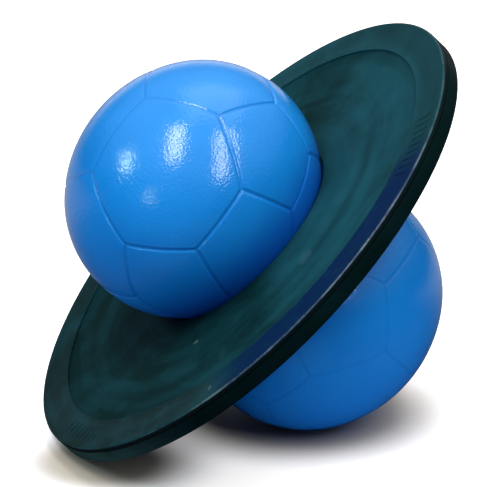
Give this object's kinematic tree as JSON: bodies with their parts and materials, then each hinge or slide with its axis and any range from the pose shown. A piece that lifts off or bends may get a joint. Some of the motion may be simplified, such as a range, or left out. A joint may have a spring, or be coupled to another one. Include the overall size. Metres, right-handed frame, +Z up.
{
  "type": "hopper ball",
  "caption": "Jumping toy: an air-filled ball with two lobes, gripped at its waist by a round foot platform, resting tilted on a floor.",
  "frame": {"origin": "on the floor that the toy rests on, below the middle of the platform, which is the middle of the bounding box's bottom", "axes": "+Z up from the floor, +Y along the platform's level diameter, which is the longest extent, and the upper lobe leans towards -X"},
  "size_m": [0.2952, 0.4, 0.2898],
  "materials": {
    "ball_skin": "glossy soft vinyl with a fine leathery grain",
    "valve_seat": "soft vinyl, semi-gloss",
    "plug": "smooth moulded stopper",
    "deck": "satin moulded plastic, fine texture, scuffed edge",
    "base": "satin moulded plastic",
    "screws": "zinc plated"
  },
  "bodies": {
    "platform": {"deck": "deck", "base": "base", "base_screws": "screws"},
    "ball": {"ball": "ball_skin", "valve_seat": "valve_seat"},
    "plug": {"inflation_plug": "plug"}
  },
  "joints": [
    {"name": "ball_turn", "type": "hinge", "parent": "platform", "child": "ball", "pos_m": [0, 0, 0.1449], "axis": [-0.7001, 0, 0.7141], "continuous": true},
    {"name": "plug_pull", "type": "slide", "parent": "ball", "child": "plug", "axis": [-0.6308, 0.4998, 0.5935], "range_m": [0, 0.014]}
  ]
}
